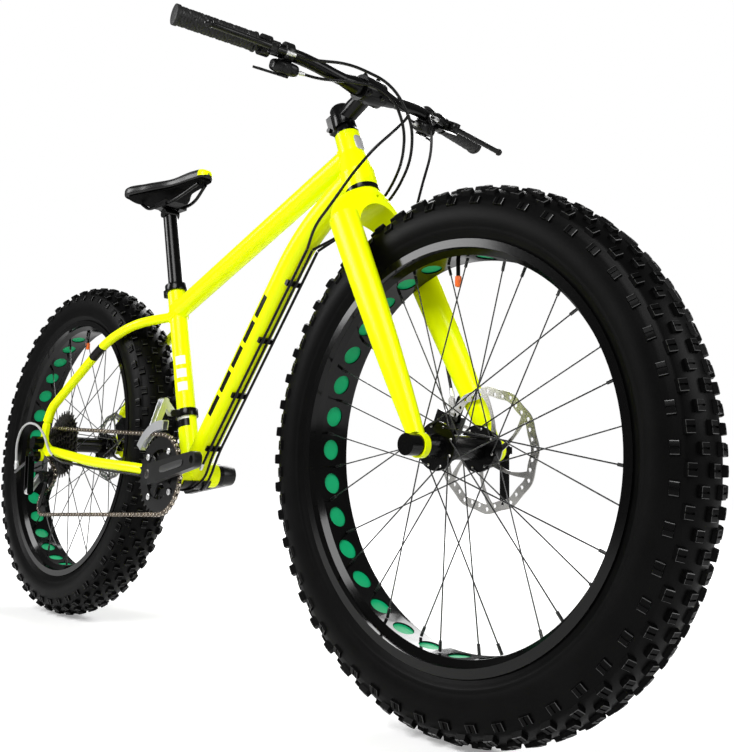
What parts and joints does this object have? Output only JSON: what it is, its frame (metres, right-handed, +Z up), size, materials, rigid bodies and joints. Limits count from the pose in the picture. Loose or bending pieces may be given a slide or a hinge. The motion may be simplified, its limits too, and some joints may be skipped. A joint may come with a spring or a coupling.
{
  "type": "fat tire bike",
  "caption": "Rigid fat tire bicycle with wide knobby tires on windowed rims, a bent-tube frame, disc brakes, derailleur gears, a flat handlebar and no pedals.",
  "frame": {"origin": "on the ground midway between the two axles, in the bike's middle plane", "axes": "+X is the riding direction, +Y the rider's left, +Z up"},
  "size_m": [1.8986, 0.7086, 1.0075],
  "materials": {
    "neon_paint": "gloss",
    "black_metal": "satin",
    "black_levers": "satin",
    "black_plastic": "matte",
    "housing_plastic": "gloss",
    "grip_rubber": "matte",
    "tire_rubber": "matte",
    "tube_rubber": "matte",
    "teal_strip": "matte",
    "stainless": "brushed",
    "dark_steel": "satin",
    "chain_steel": "satin",
    "silver_alloy": "satin",
    "black_rail": "satin",
    "saddle_leather": "gloss"
  },
  "bodies": {
    "frame": {"main_frame": "neon_paint", "rear_triangle": "neon_paint", "headset_cups": "black_metal", "bottom_bracket_cups": "black_metal", "seat_clamp": "black_metal", "frame_cables": "housing_plastic", "rear_caliper": "black_metal", "front_derailleur_clamp": "black_metal", "rear_axle": "black_metal", "chain": "chain_steel", "rear_derailleur_bracket": "black_metal"},
    "steering": {"fork": "neon_paint", "headset_spacers": "black_metal", "stem": "black_metal", "stem_faceplate": "black_metal", "handlebar": "black_metal", "grips": "grip_rubber", "brake_lever_mounts": "black_levers", "shifter_housings": "black_plastic", "steering_cables": "housing_plastic", "front_caliper": "black_metal", "front_axle": "black_metal"},
    "brake_lever_right": {"brake_lever_right": "black_levers"},
    "brake_lever_left": {"brake_lever_left": "black_levers"},
    "shift_lever_right": {"shift_lever_right": "black_plastic"},
    "shift_lever_left": {"shift_lever_left": "black_plastic"},
    "front_caliper_arm": {"front_caliper_arm": "stainless"},
    "rear_caliper_arm": {"rear_caliper_arm": "stainless"},
    "front_skewer_lever": {"front_skewer_lever": "black_metal"},
    "rear_skewer_lever": {"rear_skewer_lever": "black_metal"},
    "front_wheel": {"front_tire": "tire_rubber", "front_rim": "black_metal", "front_rim_strip": "teal_strip", "front_inner_tube": "tube_rubber", "front_spokes": "stainless", "front_hub": "black_metal", "front_rotor": "stainless"},
    "rear_wheel": {"rear_tire": "tire_rubber", "rear_rim": "black_metal", "rear_rim_strip": "teal_strip", "rear_inner_tube": "tube_rubber", "rear_spokes": "stainless", "rear_hub": "black_metal", "rear_rotor": "stainless"},
    "cassette": {"cassette": "dark_steel"},
    "crank": {"crank_arm_right": "black_metal", "crank_arm_left": "black_metal", "chainrings": "dark_steel"},
    "front_derailleur_linkage": {"front_derailleur_linkage": "silver_alloy"},
    "front_derailleur_cage": {"front_derailleur_cage": "silver_alloy"},
    "rear_derailleur_linkage": {"rear_derailleur_linkage": "black_metal"},
    "rear_derailleur_knuckle": {"rear_derailleur_knuckle": "black_metal"},
    "rear_derailleur_cage": {"rear_derailleur_cage": "silver_alloy"},
    "guide_pulley": {"guide_pulley": "black_plastic"},
    "tension_pulley": {"tension_pulley": "black_plastic"},
    "seat": {"seatpost": "black_metal"},
    "saddle": {"saddle_clamp": "black_metal", "saddle_rails": "black_rail", "saddle_base": "black_plastic", "saddle_cover": "saddle_leather"}
  },
  "joints": [
    {"name": "steering_turn", "type": "hinge", "parent": "frame", "child": "steering", "pos_m": [0.36261, 0, 0.78357], "axis": [-0.3649, 0, 0.9311], "range_deg": [-60, 60], "deforming": ["steering_cables"]},
    {"name": "front_wheel_spin", "type": "hinge", "parent": "steering", "child": "front_wheel", "pos_m": [0.5775, 0, 0.372], "axis": [0, 1, 0], "continuous": true},
    {"name": "rear_wheel_spin", "type": "hinge", "parent": "frame", "child": "rear_wheel", "pos_m": [-0.5775, 0, 0.372], "axis": [0, 1, 0], "continuous": true},
    {"name": "crank_spin", "type": "hinge", "parent": "frame", "child": "crank", "pos_m": [-0.0969, 0, 0.3165], "axis": [0, 1, 0], "continuous": true, "deforming": ["chain"]},
    {"name": "cassette_spin", "type": "hinge", "parent": "frame", "child": "cassette", "pos_m": [-0.5775, 0, 0.372], "axis": [0, 1, 0], "continuous": true, "deforming": ["chain"]},
    {"name": "brake_lever_right_pull", "type": "hinge", "parent": "steering", "child": "brake_lever_right", "pos_m": [0.37696, -0.21228, 0.96739], "axis": [-0.453, 0.0675, -0.889], "range_deg": [0, 22], "stiffness_Nm_per_rad": 1},
    {"name": "shift_lever_right_push", "type": "hinge", "parent": "steering", "child": "shift_lever_right", "pos_m": [0.35324, -0.16655, 0.98294], "axis": [0.453, -0.0675, 0.889], "range_deg": [0, 30], "stiffness_Nm_per_rad": 0.3},
    {"name": "brake_lever_left_pull", "type": "hinge", "parent": "steering", "child": "brake_lever_left", "pos_m": [0.37696, 0.21228, 0.96739], "axis": [0.453, 0.0675, 0.889], "range_deg": [0, 22], "stiffness_Nm_per_rad": 1},
    {"name": "shift_lever_left_push", "type": "hinge", "parent": "steering", "child": "shift_lever_left", "pos_m": [0.35324, 0.16655, 0.98294], "axis": [-0.453, -0.0675, -0.889], "range_deg": [0, 30], "stiffness_Nm_per_rad": 0.3},
    {"name": "front_caliper_arm_swing", "type": "hinge", "parent": "steering", "child": "front_caliper_arm", "pos_m": [0.5011, 0.063, 0.40443], "axis": [0, 1, 0], "range_deg": [-1, 25]},
    {"name": "rear_caliper_arm_swing", "type": "hinge", "parent": "frame", "child": "rear_caliper_arm", "pos_m": [-0.51559, 0.074, 0.41068], "axis": [0, 1, 0], "range_deg": [-1, 25]},
    {"name": "front_skewer_lever_swing", "type": "hinge", "parent": "steering", "child": "front_skewer_lever", "pos_m": [0.5775, 0.103, 0.372], "axis": [1, 0, 0], "range_deg": [0, 180]},
    {"name": "rear_skewer_lever_swing", "type": "hinge", "parent": "frame", "child": "rear_skewer_lever", "pos_m": [-0.5775, 0.1145, 0.372], "axis": [1, 0, 0], "range_deg": [0, 180]},
    {"name": "front_derailleur_shift", "type": "hinge", "parent": "frame", "child": "front_derailleur_linkage", "pos_m": [-0.13277, -0.034, 0.43311], "axis": [-1, 0, 0], "range_deg": [0, 18], "stiffness_Nm_per_rad": 2, "deforming": ["chain"]},
    {"name": "front_derailleur_cage_level", "type": "hinge", "parent": "front_derailleur_linkage", "child": "front_derailleur_cage", "pos_m": [-0.13277, -0.054, 0.45511], "axis": [-1, 0, 0], "range_deg": [-19, 1]},
    {"name": "rear_derailleur_shift", "type": "hinge", "parent": "frame", "child": "rear_derailleur_linkage", "pos_m": [-0.5945, -0.107, 0.264], "axis": [-1, 0, 0], "range_deg": [-18, 22], "stiffness_Nm_per_rad": 2, "deforming": ["chain"]},
    {"name": "rear_derailleur_level", "type": "hinge", "parent": "rear_derailleur_linkage", "child": "rear_derailleur_knuckle", "pos_m": [-0.5945, -0.085, 0.298], "axis": [-1, 0, 0], "range_deg": [-23, 19]},
    {"name": "cage_swing", "type": "hinge", "parent": "rear_derailleur_knuckle", "child": "rear_derailleur_cage", "pos_m": [-0.5715, -0.07, 0.298], "axis": [0, 1, 0], "range_deg": [-30, 25], "stiffness_Nm_per_rad": 1, "deforming": ["chain"]},
    {"name": "guide_pulley_spin", "type": "hinge", "parent": "rear_derailleur_cage", "child": "guide_pulley", "pos_m": [-0.5715, -0.07, 0.298], "axis": [0, 1, 0], "continuous": true, "deforming": ["chain"]},
    {"name": "tension_pulley_spin", "type": "hinge", "parent": "rear_derailleur_cage", "child": "tension_pulley", "pos_m": [-0.596, -0.07, 0.23672], "axis": [0, 1, 0], "continuous": true, "deforming": ["chain"]},
    {"name": "seatpost_slide", "type": "slide", "parent": "frame", "child": "seat", "axis": [-0.294, 0, 0.9558], "range_m": [-0.1, 0.06]},
    {"name": "saddle_tilt", "type": "hinge", "parent": "seat", "child": "saddle", "pos_m": [-0.26862, 0, 0.87468], "axis": [0, 1, 0], "range_deg": [-10, 10]}
  ],
  "couplings": [
    {"joint": "cassette_spin", "follows": "crank_spin", "ratio": 2.1176},
    {"joint": "guide_pulley_spin", "follows": "crank_spin", "ratio": -3.2727},
    {"joint": "tension_pulley_spin", "follows": "crank_spin", "ratio": 3.2727},
    {"joint": "front_caliper_arm_swing", "follows": "brake_lever_left_pull", "ratio": 1},
    {"joint": "rear_caliper_arm_swing", "follows": "brake_lever_right_pull", "ratio": 1},
    {"joint": "front_derailleur_cage_level", "follows": "front_derailleur_shift", "ratio": -1},
    {"joint": "rear_derailleur_level", "follows": "rear_derailleur_shift", "ratio": -1}
  ]
}
